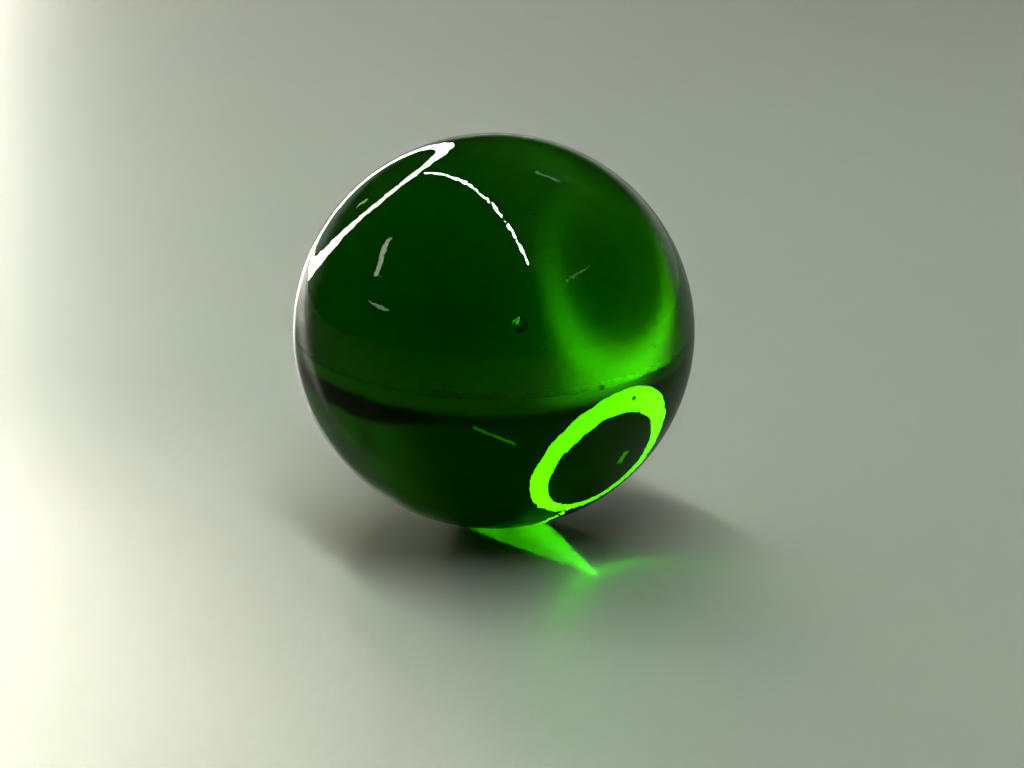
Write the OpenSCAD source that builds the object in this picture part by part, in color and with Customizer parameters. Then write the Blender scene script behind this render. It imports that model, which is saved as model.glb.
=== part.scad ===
// Solid ball of clear green glass: a marble, a little lower than it is wide, with a few
// small air bubbles sealed inside it. Millimetres. The origin is the ball's centre, +Z points
// up, away from the surface that the ball rests on, and its front faces -Y.

/* [Ball] */
// Diameter of the ball at its widest
ball_d = 25; // [14:0.5:50]
// Height of the ball as a share of its width
ball_roundness = 0.984; // [0.96:0.002:1]

/* [Air bubbles] */
// Are there air bubbles in the glass?
has_bubbles = true; // [true, false]
// Diameter of the large bubble near the middle
large_bubble_d = 0.7; // [0.2:0.1:1.2]
// Diameter of the smallest bubbles, which the other small ones are multiples of
small_bubble_d = 0.15; // [0.1:0.05:0.3]

/* [Hidden] */

$fn = 96;
ball_r = ball_d / 2;
glass_green = [0.02, 0.34, 0.05, 0.8];

// The large bubble's place: right, back and up from the ball's centre, in ball radii
large_bubble_at = [0.09, -0.09, 0.04];

// Each small bubble: its place in ball radii, then its size in smallest diameters
small_bubbles = [
    [[0.51, -0.17, -0.21], 1.5],
    [[0.35, 0.02, -0.19], 1.3],
    [[0.15, 0.19, -0.10], 1],
    [[0.56, -0.02, -0.05], 1],
    [[0.18, -0.43, 0.60], 1],
    [[-0.19, 0.73, -0.44], 2]
];

// A round bubble, its place given in ball radii
module bubble(at, d) {
    translate(ball_r * at)
        sphere(d = d);
}

// The outside of the ball: half an oval turned about the short axis, which runs from pole to pole
module ball_outside() {
    rotate_extrude()
        intersection() {
            scale([1, ball_roundness])
                circle(r = ball_r);
            translate([0, -ball_r])
                square([ball_r, ball_d]);
        }
}

// All the air that is sealed in the glass
module air_bubbles() {
    bubble(large_bubble_at, large_bubble_d);
    for (small = small_bubbles)
        bubble(small[0], small[1] * small_bubble_d);
}

// The glass itself, the object's only solid piece
module glass_ball() {
    color(glass_green)
        difference() {
            ball_outside();
            if (has_bubbles)
                air_bubbles();
        }
}

glass_ball();
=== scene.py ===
"""A solid ball of clear green glass on a pale satin bench, lit by a ring lamp behind it.

The ball is rebuilt as a fine mesh in the place of its CAD solid, with the CAD's air bubbles as
closed shells inside it. Metres. The ball's centre is the origin, +Z is up and its front faces -Y.
"""
import math

import bmesh
import bpy
from mathutils import Matrix, Vector


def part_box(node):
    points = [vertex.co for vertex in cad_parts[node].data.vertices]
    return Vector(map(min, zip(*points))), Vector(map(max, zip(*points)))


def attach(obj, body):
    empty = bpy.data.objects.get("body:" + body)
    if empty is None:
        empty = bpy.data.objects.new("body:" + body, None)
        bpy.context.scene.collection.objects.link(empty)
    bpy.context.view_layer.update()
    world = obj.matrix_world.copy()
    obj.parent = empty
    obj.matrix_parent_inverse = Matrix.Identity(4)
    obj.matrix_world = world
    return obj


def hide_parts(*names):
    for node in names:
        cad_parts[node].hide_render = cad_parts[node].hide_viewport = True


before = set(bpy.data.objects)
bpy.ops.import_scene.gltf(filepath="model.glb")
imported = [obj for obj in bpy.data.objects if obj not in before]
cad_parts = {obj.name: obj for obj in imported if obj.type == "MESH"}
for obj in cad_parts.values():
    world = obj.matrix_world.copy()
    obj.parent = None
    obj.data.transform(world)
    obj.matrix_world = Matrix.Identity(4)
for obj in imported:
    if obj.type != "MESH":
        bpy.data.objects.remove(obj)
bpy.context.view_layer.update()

# ---------------------------------------------------------------- sizes, from the frame
BALL_LOW, BALL_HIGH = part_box("glass_ball")
CENTRE = (BALL_LOW + BALL_HIGH) / 2
RADIUS = (BALL_HIGH.x - BALL_LOW.x) / 2
HALF_HEIGHT = (BALL_HIGH.z - BALL_LOW.z) / 2
BENCH_Z = BALL_LOW.z
MM = 0.001


# ---------------------------------------------------------------- small helpers
def link(obj):
    bpy.context.scene.collection.objects.link(obj)
    return obj


def heading(azimuth, elevation):
    """Unit vector at that azimuth from +Y towards +X, and that elevation above level, in degrees."""
    a, e = math.radians(azimuth), math.radians(elevation)
    return Vector((math.sin(a) * math.cos(e), math.cos(a) * math.cos(e), math.sin(e)))


def object_from_bmesh(name, bm, smooth=True):
    mesh = bpy.data.meshes.new(name)
    bm.to_mesh(mesh)
    bm.free()
    for polygon in mesh.polygons:
        polygon.use_smooth = smooth
    return link(bpy.data.objects.new(name, mesh))


def hide_from_camera(obj):
    """A lamp that lights the scene and shows in the glass, but not in the picture itself."""
    obj.visible_camera = False
    return obj


# ---------------------------------------------------------------- camera
CAMERA_LENS = 70.0                 # mm, on a 36 mm sensor
CAMERA_PITCH = 14.4                # degrees that the lens points below level
BALL_RIGHT_OF_AXIS = -0.52         # degrees
BALL_ABOVE_AXIS = 1.52             # degrees
CAMERA_DISTANCE = 9.96 * RADIUS    # from the ball's centre


def make_camera():
    data = bpy.data.cameras.new("camera")
    data.lens = CAMERA_LENS
    data.sensor_width = 36.0
    data.clip_start = 0.001
    data.clip_end = 20.0
    camera = link(bpy.data.objects.new("camera", data))
    turn = Matrix.Rotation(math.radians(90.0 - CAMERA_PITCH), 3, "X")
    to_ball = Vector((
        math.tan(math.radians(BALL_RIGHT_OF_AXIS)),
        math.tan(math.radians(BALL_ABOVE_AXIS)),
        -1.0,
    )).normalized()
    camera.matrix_world = Matrix.Translation(CENTRE - turn @ to_ball * CAMERA_DISTANCE) @ turn.to_4x4()
    bpy.context.scene.camera = camera
    return camera


# ---------------------------------------------------------------- node helpers
class Nodes:
    """Short calls for building one material's node tree."""

    def __init__(self, tree):
        self.tree = tree
        tree.nodes.clear()

    def add(self, kind, **settings):
        node = self.tree.nodes.new(kind)
        for key, value in settings.items():
            setattr(node, key, value)
        return node

    def join(self, source, target):
        self.tree.links.new(source, target)

    def noise(self, coords, scale, detail=2.0, roughness=0.5, distortion=0.0):
        node = self.add("ShaderNodeTexNoise")
        self.join(coords, node.inputs["Vector"])
        node.inputs["Scale"].default_value = scale
        node.inputs["Detail"].default_value = detail
        node.inputs["Roughness"].default_value = roughness
        node.inputs["Distortion"].default_value = distortion
        return node.outputs["Fac"]

    def cells(self, coords, scale):
        """Distance to the nearest of many scattered points, as a share of their spacing."""
        node = self.add("ShaderNodeTexVoronoi", feature="F1")
        self.join(coords, node.inputs["Vector"])
        node.inputs["Scale"].default_value = scale
        return node.outputs["Distance"]

    def span(self, value, low, high, to_low, to_high, smooth=True):
        """value from low..high to to_low..to_high, clamped."""
        node = self.add("ShaderNodeMapRange")
        node.interpolation_type = "SMOOTHSTEP" if smooth else "LINEAR"
        self.join(value, node.inputs["Value"])
        ends = {"From Min": low, "From Max": high, "To Min": to_low, "To Max": to_high}
        for name, number in ends.items():
            node.inputs[name].default_value = number
        return node.outputs["Result"]

    def math(self, operation, a, b):
        node = self.add("ShaderNodeMath", operation=operation)
        for socket, value in zip(node.inputs, (a, b)):
            if isinstance(value, (int, float)):
                socket.default_value = value
            else:
                self.join(value, socket)
        return node.outputs["Value"]

    def mix(self, factor, a, b):
        """Blend of colours a and b, each a colour or a socket."""
        node = self.add("ShaderNodeMix", data_type="RGBA")
        for socket, value in ((node.inputs[0], factor), (node.inputs[6], a), (node.inputs[7], b)):
            if isinstance(value, (int, float)):
                socket.default_value = value
            elif isinstance(value, tuple):
                socket.default_value = (*value, 1.0)
            else:
                self.join(value, socket)
        return node.outputs[2]

    def bump(self, height, distance, normal=None):
        """Surface relief: height 0..1 times distance, in metres."""
        node = self.add("ShaderNodeBump")
        node.inputs["Strength"].default_value = 1.0
        node.inputs["Distance"].default_value = distance
        self.join(height, node.inputs["Height"])
        if normal is not None:
            self.join(normal, node.inputs["Normal"])
        return node.outputs["Normal"]


def new_material(name):
    material = bpy.data.materials.new(name)
    material.use_nodes = True
    return material, Nodes(material.node_tree)


# ---------------------------------------------------------------- glass
GLASS_IOR = 1.52
GLASS_TAKES = (185.0, 88.0, 450.0)     # light lost per metre of glass: red, green, blue
CLEAR_GLASS = (0.92, 1.0, 0.90)
STREAKY_GLASS = (0.78, 0.96, 0.74)


def green_glass():
    material, n = new_material("green_glass")
    place = n.add("ShaderNodeTexCoord").outputs["Object"]

    # Colour: faint streaks, as from one gather of glass turned on itself
    streaks = n.noise(place, 0.09 / MM, detail=3.0, distortion=1.6)
    colour = n.mix(n.span(streaks, 0.35, 0.7, 0.0, 1.0), CLEAR_GLASS, STREAKY_GLASS)

    # Polish: mirror-clear, with a few hazy patches from handling
    haze = n.noise(place, 0.16 / MM, detail=4.0, roughness=0.6)
    roughness = n.span(haze, 0.52, 0.75, 0.0, 0.035)

    # Relief: slow waves and a fine orange-peel ripple left by the fire polish, and a few small pits
    waves = n.bump(n.noise(place, 0.2 / MM, detail=1.0), 10e-6)
    dimples = n.bump(n.noise(place, 0.9 / MM, detail=1.0), 6e-6, waves)
    ripple = n.bump(n.cells(place, 3.4 / MM), 2.0e-6, dimples)
    pits = n.bump(n.span(n.cells(place, 0.4 / MM), 0.0, 0.07, 0.0, 1.0), 4e-6, ripple)

    glass = n.add("ShaderNodeBsdfPrincipled")
    glass.inputs["Transmission Weight"].default_value = 1.0
    glass.inputs["IOR"].default_value = GLASS_IOR
    n.join(colour, glass.inputs["Base Color"])
    n.join(roughness, glass.inputs["Roughness"])
    n.join(pits, glass.inputs["Normal"])

    density = max(GLASS_TAKES)
    body = n.add("ShaderNodeVolumeAbsorption")
    body.inputs["Color"].default_value = (*(1.0 - lost / density for lost in GLASS_TAKES), 1.0)
    body.inputs["Density"].default_value = density

    out = n.add("ShaderNodeOutputMaterial")
    n.join(glass.outputs["BSDF"], out.inputs["Surface"])
    n.join(body.outputs["Volume"], out.inputs["Volume"])
    return material


# ---------------------------------------------------------------- the ball
OUTSIDE_STEPS = 96      # faces along each side of the outside's six patches
BUBBLE_STEPS = 12


def add_oval(bm, centre, half_size, steps, inward=False):
    """A closed oval of six square patches, evenly spread. inward turns its faces to its own centre."""
    corners = {}

    def corner(place):
        if place not in corners:
            spread = Vector([math.tan(math.pi / 4 * (2 * x / steps - 1)) for x in place]).normalized()
            corners[place] = bm.verts.new(centre + Vector([a * b for a, b in zip(spread, half_size)]))
        return corners[place]

    for axis in range(3):
        for level in (0, steps):
            turned = (level == 0) ^ (axis == 1) ^ inward
            for i in range(steps):
                for j in range(steps):
                    square = [(i, j), (i + 1, j), (i + 1, j + 1), (i, j + 1)]
                    face = [corner((*p[:axis], level, *p[axis:])) for p in square]
                    bm.faces.new(face[::-1] if turned else face)


def cad_bubbles():
    """Centre and radius of each air bubble in the CAD solid: every closed shell but the outside."""
    bm = bmesh.new()
    bm.from_mesh(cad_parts["glass_ball"].data)
    bmesh.ops.remove_doubles(bm, verts=bm.verts[:], dist=1e-7)
    bubbles, seen = [], set()
    for start in bm.verts:
        if start in seen:
            continue
        shell, todo = set(), [start]
        while todo:
            vert = todo.pop()
            if vert not in shell:
                shell.add(vert)
                todo.extend(edge.other_vert(vert) for edge in vert.link_edges)
        seen |= shell
        low = Vector([min(v.co[i] for v in shell) for i in range(3)])
        high = Vector([max(v.co[i] for v in shell) for i in range(3)])
        if high.x - low.x < RADIUS:
            bubbles.append(((low + high) / 2, (high.x - low.x) / 2))
    bm.free()
    return bubbles


def make_ball():
    bm = bmesh.new()
    add_oval(bm, CENTRE, (RADIUS, RADIUS, HALF_HEIGHT), OUTSIDE_STEPS)
    for centre, radius in cad_bubbles():
        add_oval(bm, centre, (radius, radius, radius), BUBBLE_STEPS, inward=True)
    ball = object_from_bmesh("glass_ball_body", bm)
    ball.data.materials.append(green_glass())
    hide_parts("glass_ball")
    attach(ball, "root")
    return ball


# ---------------------------------------------------------------- bench
BENCH_HALF = 1.5
BENCH_COLOUR = (0.545, 0.565, 0.48)
# Painted shade: darker copies of the bench's colour, where the ball mirrors it and where it shows through
# the glass
BENCH_MIRRORED_PAINTED_SHADE = (0.29, 0.29, 0.26)
BENCH_THROUGH_GLASS_PAINTED_SHADE = (0.18, 0.185, 0.155)
BENCH_SHEEN = 0.38          # share of the bench that shines as brushed metal does
BENCH_ROUGHNESS = 0.55
SKIN_ROUGHNESS = 0.2        # of the thin clear skin on the bench
SKIN_IOR = 1.28


def make_bench():
    bm = bmesh.new()
    bmesh.ops.create_grid(bm, x_segments=1, y_segments=1, size=BENCH_HALF)
    bench = object_from_bmesh("bench", bm, smooth=False)
    bench.location = (0.0, 0.0, BENCH_Z)
    material, n = new_material("satin_bench")
    place = n.add("ShaderNodeTexCoord").outputs["Object"]
    metal = n.add("ShaderNodeBsdfPrincipled")
    # Seen straight, it is plain satin; mirrored in the ball or seen through it, it has a thin skin and
    # painted shade
    ray = n.add("ShaderNodeLightPath")
    straight = ray.outputs["Is Camera Ray"]
    past_glass = n.span(ray.outputs["Transmission Depth"], 0.0, 1.0, 0.0, 1.0, smooth=False)
    in_ball_painted_shade = n.mix(past_glass, BENCH_MIRRORED_PAINTED_SHADE, BENCH_THROUGH_GLASS_PAINTED_SHADE)
    n.join(n.mix(straight, in_ball_painted_shade, BENCH_COLOUR), metal.inputs["Base Color"])
    n.join(n.math("MULTIPLY", straight, BENCH_SHEEN), metal.inputs["Metallic"])
    n.join(n.math("SUBTRACT", 1.0, straight), metal.inputs["Coat Weight"])
    metal.inputs["Roughness"].default_value = BENCH_ROUGHNESS
    metal.inputs["Coat Roughness"].default_value = SKIN_ROUGHNESS
    metal.inputs["Coat IOR"].default_value = SKIN_IOR
    grain = n.noise(place, 2.0 / MM, detail=3.0)
    n.join(n.bump(grain, 2e-6), metal.inputs["Normal"])
    out = n.add("ShaderNodeOutputMaterial")
    n.join(metal.outputs["BSDF"], out.inputs["Surface"])
    bench.data.materials.append(material)
    return bench


# ---------------------------------------------------------------- lamps
WHITE = (1.0, 1.0, 1.0)
WARM_WHITE = (1.0, 0.94, 0.88)


def emission(n, colour, strength, through_glass):
    """Plain light. through_glass: how many times as strong it is for a ray that has come through glass."""
    light = n.add("ShaderNodeEmission")
    light.inputs["Color"].default_value = (*colour, 1.0)
    past_glass = n.add("ShaderNodeLightPath").outputs["Transmission Depth"]
    level = n.span(past_glass, 0.0, 1.0, strength, strength * through_glass, smooth=False)
    n.join(level, light.inputs["Strength"])
    return light.outputs["Emission"]


def glow(name, colour, strength, through_glass=1.0, mirrored=True, elsewhere=True):
    """A lamp's surface. mirrored: shows in what the camera sees mirrored, elsewhere: to every other ray."""
    material, n = new_material(name)
    surface = emission(n, colour, strength, through_glass)
    if mirrored != elsewhere:
        ray = n.add("ShaderNodeLightPath")
        first_bounce = n.math("LESS_THAN", ray.outputs["Ray Depth"], 1.5)
        is_mirrored = n.math("MULTIPLY", ray.outputs["Is Glossy Ray"], first_bounce)
        blend = n.add("ShaderNodeMixShader")
        clear = n.add("ShaderNodeBsdfTransparent").outputs["BSDF"]
        n.join(is_mirrored, blend.inputs[0])
        n.join(clear if elsewhere else surface, blend.inputs[2])
        n.join(surface if elsewhere else clear, blend.inputs[1])
        surface = blend.outputs["Shader"]
    out = n.add("ShaderNodeOutputMaterial")
    n.join(surface, out.inputs["Surface"])
    return material


def tube_lamp(name, points, thickness, material, closed=False):
    """A glowing tube along the points."""
    curve = bpy.data.curves.new(name, "CURVE")
    curve.dimensions = "3D"
    curve.bevel_depth = thickness / 2
    curve.bevel_resolution = 3
    curve.use_fill_caps = not closed
    spline = curve.splines.new("POLY")
    spline.points.add(len(points) - 1)
    for point, place in zip(spline.points, points):
        point.co = (*place, 1.0)
    spline.use_cyclic_u = closed
    curve.materials.append(material)
    return hide_from_camera(link(bpy.data.objects.new(name, curve)))


RING_DISTANCE = 2.5
RING_LIGHT = (1.0, 0.94, 0.90)
RING_STEPS = 96
# A ring's centre and the way it faces, as (azimuth, elevation), then its radius and its tube's width, in
# degrees as seen from the ball
RING_THROUGH_GLASS = ((-29.2, 27.9), (-59.6, 0.7), 22.0, 5.3)
RING_MIRRORED = ((-24.9, 21.4), (-59.9, 0.1), 21.6, 4.3)


def make_ring_lamp(centre, faces, radius, tube, material):
    axis = heading(*faces)
    side = axis.cross(Vector((0, 0, 1))).normalized()
    upward = side.cross(axis).normalized()
    reach = RING_DISTANCE * math.tan(math.radians(radius))
    turns = [2 * math.pi * i / RING_STEPS for i in range(RING_STEPS)]
    middle = heading(*centre) * RING_DISTANCE
    points = [middle + (side * math.cos(t) + upward * math.sin(t)) * reach for t in turns]
    thickness = RING_DISTANCE * math.radians(tube)
    return tube_lamp(material.name, points, thickness, material, closed=True)


def make_ring_lamps(ball):
    """One ring lamp for what shines through the glass, and a slightly lower one that the ball mirrors."""
    through = glow("ring_lamp", RING_LIGHT, 5.4, through_glass=3.0, mirrored=False)
    make_ring_lamp(*RING_THROUGH_GLASS, through)
    mirrored = glow("ring_lamp_mirrored", RING_LIGHT, 11.0, elsewhere=False)
    shine_only_on(make_ring_lamp(*RING_MIRRORED, mirrored), ball)


CEILING_TUBE = (Vector((-0.32, 0.55, 0.64)), Vector((0.27, -0.50, 0.67)))
CEILING_TUBE_THICK = 7 * MM


def make_ceiling_tube():
    material = glow("tube_light", (0.88, 0.98, 1.0), 160.0, through_glass=2.4)
    tube_lamp("ceiling_tube", CEILING_TUBE, CEILING_TUBE_THICK, material)


STRIP_DISTANCE = 1.5
STRIPS = {
    # name: (from azimuth and elevation, to azimuth and elevation, degrees wide, colour, strength)
    "side_window": ((-84.7, 42.6), (-99.3, 27.8), 3.2, (1.0, 0.97, 0.9), 6.0),
    "low_window": ((-101.4, 16.4), (-117.7, 16.6), 1.6, (0.9, 1.0, 0.95), 4.0),
    "ring_bulb": ((-37.2, 21.5), (-37.7, 25.6), 2.2, (1.0, 0.85, 0.5), 3.0),
    "far_lamp": ((3.1, 5.3), (-4.7, 9.8), 0.6, (1.0, 1.0, 0.9), 1.6),
    "far_window": ((24.5, 55.8), (38.3, 52.7), 1.6, (0.7, 0.85, 1.0), 2.0),
    "back_window": ((129.7, 35.7), (107.3, 37.2), 1.0, (0.8, 1.0, 0.9), 1.5),
}


def make_strips():
    for name, (start, end, width, colour, strength) in STRIPS.items():
        points = [heading(*start) * STRIP_DISTANCE, heading(*end) * STRIP_DISTANCE]
        tube_lamp(name, points, STRIP_DISTANCE * math.radians(width), glow(name, colour, strength))


def shine_only_on(lamp, target):
    lit = bpy.data.collections.new(lamp.name)
    lit.objects.link(target)
    lamp.light_linking.receiver_collection = lit


def hidden_light(kind, name, place, target, power, colour, only=None):
    """A light of that kind, that doesn't show in the glass. only: the one object that it lights."""
    data = bpy.data.lights.new(name, kind)
    data.energy = power
    data.color = colour
    lamp = link(bpy.data.objects.new(name, data))
    lamp.location = place
    lamp.rotation_euler = (target - place).to_track_quat("-Z", "Y").to_euler()
    lamp.visible_transmission = False
    if only is None:
        lamp.visible_glossy = False
    else:
        shine_only_on(lamp, only)
        data.use_nodes = True
        n = Nodes(data.node_tree)
        out = n.add("ShaderNodeOutputLight")
        n.join(emission(n, WHITE, 1.0, 0.0), out.inputs["Surface"])
    return data


FILL_PLACE = Vector((0.6, 2.0, 3.0))
LOW_WINDOW = heading(-20.0, 8.0) * 1.5
POOL_MIDDLE = Vector((-0.045, -0.038, BENCH_Z))
DESK_LAMP = POOL_MIDDLE + heading(-10.0, 36.0) * 0.4
POOL_SPREAD = 15.0      # degrees, the desk lamp's full cone


def make_soft_lights(bench):
    """A soft fill, and the glare at the bench's left: a low window's sheen, and a pool from a desk lamp."""
    fill = hidden_light("AREA", "fill", FILL_PLACE, CENTRE, 22.0, WHITE)
    fill.size = 3.0
    glare = hidden_light("AREA", "glare", LOW_WINDOW, CENTRE, 5.5, (1.0, 0.93, 0.86), only=bench)
    glare.size = 0.1
    pool = hidden_light("SPOT", "pool", DESK_LAMP, POOL_MIDDLE, 1.4, WARM_WHITE, only=bench)
    pool.spot_size = math.radians(POOL_SPREAD)
    pool.spot_blend = 1.0
    pool.shadow_soft_size = 0.01


# ---------------------------------------------------------------- surroundings
# What the camera sees past the bench, and the far wall's foot as the ball mirrors it
PALE_BACKDROP = (0.45, 0.47, 0.43)
# The rest of the room as the ball mirrors it
DARK_ROOM = (0.03, 0.034, 0.03)
CEILING = (0.13, 0.165, 0.14)
# The room as it shines through the ball, from the bench's far edge up
LEDGE = (0.38, 0.42, 0.36)
LAMPLIT_LEDGE = (2.4, 2.6, 2.2)     # under the ring lamp
HORIZON_BAND = (0.09, 0.11, 0.09)
DARKEST_BAND = (0.025, 0.03, 0.025)     # at the right
ROOM_SHADE = (0.16, 0.19, 0.16)
ROOM_LIGHT = (0.42, 0.48, 0.40)
LEDGE_TOP = 0.035, 0.07     # where the ledge fades into the band, as the sine of the elevation
BAND_TOP = 0.08, 0.15       # the band's top at the left and at the right, also as a sine


def make_surroundings():
    """A dim room, with its own look for what the ball mirrors and for what shines through the ball."""
    world = bpy.data.worlds.new("studio")
    bpy.context.scene.world = world
    world.use_nodes = True
    n = Nodes(world.node_tree)
    direction = n.add("ShaderNodeTexCoord").outputs["Generated"]
    parts = n.add("ShaderNodeSeparateXYZ")
    n.join(direction, parts.inputs["Vector"])
    right, away, up = parts.outputs
    ray = n.add("ShaderNodeLightPath")

    # Through the glass: a ledge, lamplit under the ring lamp, then the dark band, then a patchy room
    patches = n.span(n.noise(direction, 4.0, detail=2.0), 0.35, 0.65, 0.3, 1.0)
    right_side = n.span(right, 0.1, 0.5, 0.0, 1.0)
    room = n.mix(n.math("MULTIPLY", patches, right_side), ROOM_SHADE, ROOM_LIGHT)
    band = n.mix(n.span(right, 0.05, 0.35, 0.0, 1.0), HORIZON_BAND, DARKEST_BAND)
    ring_left = n.span(right, -0.7, -0.45, 0.0, 1.0)
    ring_right = n.span(right, -0.35, -0.08, 1.0, 0.0)
    under_ring = n.math("MULTIPLY", ring_left, ring_right)
    lamplit = n.math("MULTIPLY", under_ring, n.span(up, 0.0, 0.06, 1.0, 0.0))
    ledge = n.mix(lamplit, LEDGE, LAMPLIT_LEDGE)
    foot = n.mix(n.span(up, *LEDGE_TOP, 0.0, 1.0), ledge, band)
    above_band = n.math("SUBTRACT", up, n.span(right, 0.1, 0.5, *BAND_TOP))
    through_glass = n.mix(n.span(above_band, -0.01, 0.03, 0.0, 1.0), foot, room)

    # Mirrored: a dark room with a pale far wall, and a dim ceiling over its right side
    wall = n.math("MULTIPLY", n.span(up, 0.08, 0.3, 1.0, 0.0), n.span(away, 0.5, 0.85, 0.0, 1.0))
    high_up = n.span(up, 0.45, 0.75, 0.0, 1.0)
    overhead = n.math("MULTIPLY", high_up, n.span(right, -0.15, 0.1, 0.0, 1.0))
    dim_room = n.mix(n.math("MULTIPLY", patches, overhead), DARK_ROOM, CEILING)
    mirrored = n.mix(wall, dim_room, PALE_BACKDROP)

    unseen = n.mix(ray.outputs["Is Transmission Ray"], mirrored, through_glass)
    colour = n.mix(ray.outputs["Is Camera Ray"], unseen, PALE_BACKDROP)

    light = n.add("ShaderNodeBackground")
    n.join(colour, light.inputs["Color"])
    out = n.add("ShaderNodeOutputWorld")
    n.join(light.outputs["Background"], out.inputs["Surface"])


# ---------------------------------------------------------------- the scene
make_camera()
ball = make_ball()
bench = make_bench()
make_ring_lamps(ball)
make_ceiling_tube()
make_strips()
make_soft_lights(bench)
make_surroundings()

scene = bpy.context.scene
scene.view_settings.view_transform = "Standard"
scene.view_settings.gamma = 0.8     # the contrast of a compact camera, and its deep blacks
scene.view_settings.use_curve_mapping = True
scene.view_settings.curve_mapping.black_level = (0.006, 0.006, 0.006)
scene.cycles.blur_glossy = 0.0      # keeps the bright pattern that the glass throws on the bench sharp
